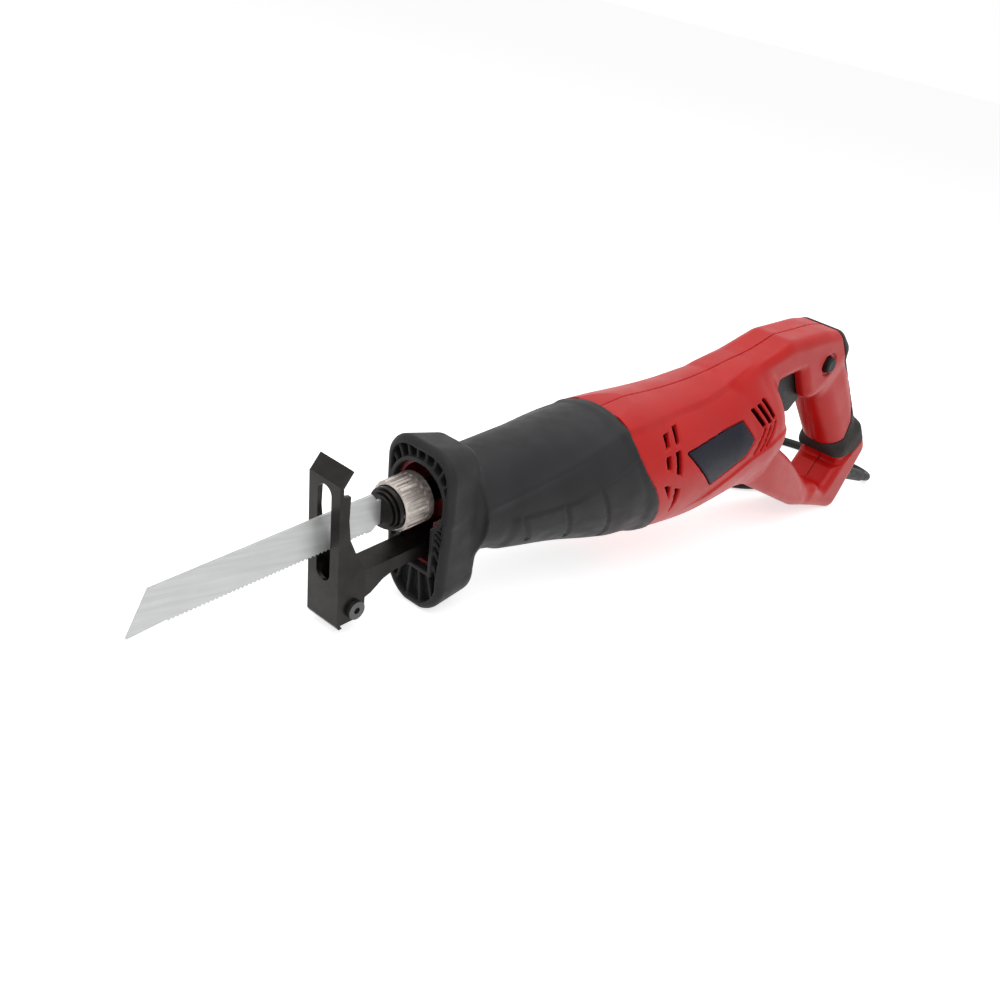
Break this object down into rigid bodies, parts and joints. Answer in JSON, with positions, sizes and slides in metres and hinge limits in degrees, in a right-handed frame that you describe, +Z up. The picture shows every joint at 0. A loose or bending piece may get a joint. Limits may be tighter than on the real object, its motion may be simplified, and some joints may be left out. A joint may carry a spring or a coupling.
{
  "type": "reciprocating saw",
  "caption": "Corded reciprocating saw with D handle, twist blade clamp, pivoting slotted shoe, rubber nose boot, trigger with speed dial, lock-on button and plug lead.",
  "frame": {"origin": "middle of the saw's box, without the cord, at the height of the bench it stands on", "axes": "+X back along the saw from the blade to the handle, -Y the user's left side with the lock button, +Z up; the saw stands on its boot and the corner of its handle, nose down by 12.3 degrees"},
  "size_m": [0.661, 0.1647, 0.1286],
  "materials": {
    "blade_steel": "satin",
    "clamp_metal": "satin, bronze tinted",
    "black_steel": "black oxide",
    "tool_steel": "ground",
    "boot_rubber": "moulded",
    "grip_rubber": "moulded",
    "housing_red": "satin moulded",
    "lining_red": "moulded",
    "badge_navy": "smooth",
    "black_plastic": "moulded",
    "insulator": "moulded",
    "cast_metal": "as cast",
    "copper": "enamelled",
    "bronze": "sintered",
    "lamination": "laminated",
    "carbon": "pressed",
    "screw_steel": "zinc plated",
    "cord_rubber": "extruded",
    "pin_brass": "plated"
  },
  "bodies": {
    "saw": {"boot": "boot_rubber", "nose_cup": "lining_red", "gear_case": "cast_metal", "gear_case_bulkhead": "cast_metal", "plunger_bush": "bronze", "shoe_lock_screw": "screw_steel", "intermediate_bearings": "tool_steel", "armature_front_bearing": "tool_steel", "armature_rear_bearing": "tool_steel", "stator_core": "lamination", "field_coils": "copper", "carbon_brushes": "carbon", "brush_springs": "tool_steel", "brush_holders": "insulator", "housing_left": "housing_red", "housing_right": "housing_red", "grip_overmould": "grip_rubber", "badge_plates": "badge_navy", "housing_screws": "screw_steel", "switch_body": "black_plastic", "strain_relief": "cord_rubber", "cord_clamp": "insulator", "cord_tube": "cord_rubber", "cord_coil": "cord_rubber", "plug_body": "cord_rubber", "plug_pins": "pin_brass"},
    "armature": {"armature_shaft": "tool_steel", "armature_core": "lamination", "armature_windings": "copper", "commutator": "copper", "cooling_fan": "black_plastic"},
    "intermediate": {"intermediate_shaft": "tool_steel", "wobble_hub": "tool_steel", "drive_gear": "tool_steel"},
    "plunger_set": {"plunger": "black_steel", "blade_clamp_sleeve": "black_steel", "blade_lock_pin": "tool_steel", "clamp_spring": "tool_steel", "blade": "blade_steel"},
    "collar": {"blade_clamp_collar": "clamp_metal"},
    "wobble": {"wobble_arm": "tool_steel"},
    "bar": {"shoe_bar": "black_steel", "shoe_pivot_screw": "screw_steel", "shoe_pivot_nut": "screw_steel", "shoe_pivot_spacers": "screw_steel"},
    "shoe_set": {"shoe": "black_steel"},
    "trigger_set": {"trigger": "black_plastic"},
    "dial": {"speed_dial": "black_plastic"},
    "button": {"lock_button": "black_plastic"}
  },
  "joints": [
    {"name": "armature_spin", "type": "hinge", "parent": "saw", "child": "armature", "pos_m": [0.029, 0, 0.05475], "axis": [0.9771, 0, 0.2126], "continuous": true},
    {"name": "intermediate_spin", "type": "hinge", "parent": "saw", "child": "intermediate", "pos_m": [-0.07262, 0, 0.05147], "axis": [0.9771, 0, 0.2126], "continuous": true},
    {"name": "plunger_slide", "type": "slide", "parent": "saw", "child": "plunger_set", "axis": [0.9771, 0, 0.2126], "range_m": [0, 0.02]},
    {"name": "wobble_rock", "type": "hinge", "parent": "saw", "child": "wobble", "pos_m": [-0.0863, 0, 0.0485], "axis": [0, 1, 0], "range_deg": [-0.6, 42.6]},
    {"name": "collar_twist", "type": "hinge", "parent": "plunger_set", "child": "collar", "pos_m": [-0.17629, 0, 0.05758], "axis": [0.9771, 0, 0.2126], "range_deg": [0, 60], "stiffness_Nm_per_rad": 0.08, "springref_deg": -22.92},
    {"name": "shoe_bar_slide", "type": "slide", "parent": "saw", "child": "bar", "axis": [0.9771, 0, 0.2126], "range_m": [0, 0.016]},
    {"name": "shoe_pivot", "type": "hinge", "parent": "bar", "child": "shoe_set", "pos_m": [-0.20271, 0, 0.01345], "axis": [0, 1, 0], "range_deg": [-15, 12]},
    {"name": "trigger_pull", "type": "slide", "parent": "saw", "child": "trigger_set", "axis": [0.6773, 0, 0.7357], "range_m": [0, 0.006], "stiffness_N_per_m": 800, "springref_m": -0.006},
    {"name": "speed_dial_turn", "type": "hinge", "parent": "trigger_set", "child": "dial", "pos_m": [0.12908, 0, 0.08848], "axis": [0.6773, 0, 0.7357], "range_deg": [0, 270]},
    {"name": "lock_button_push", "type": "slide", "parent": "saw", "child": "button", "axis": [0, 1, 0], "range_m": [0, 0.0025], "stiffness_N_per_m": 900, "springref_m": -0.003}
  ],
  "couplings": [
    {"joint": "intermediate_spin", "follows": "armature_spin", "ratio": -0.17949},
    {"joint": "wobble_rock", "follows": "plunger_slide", "rad_per_m": 36.521}
  ]
}
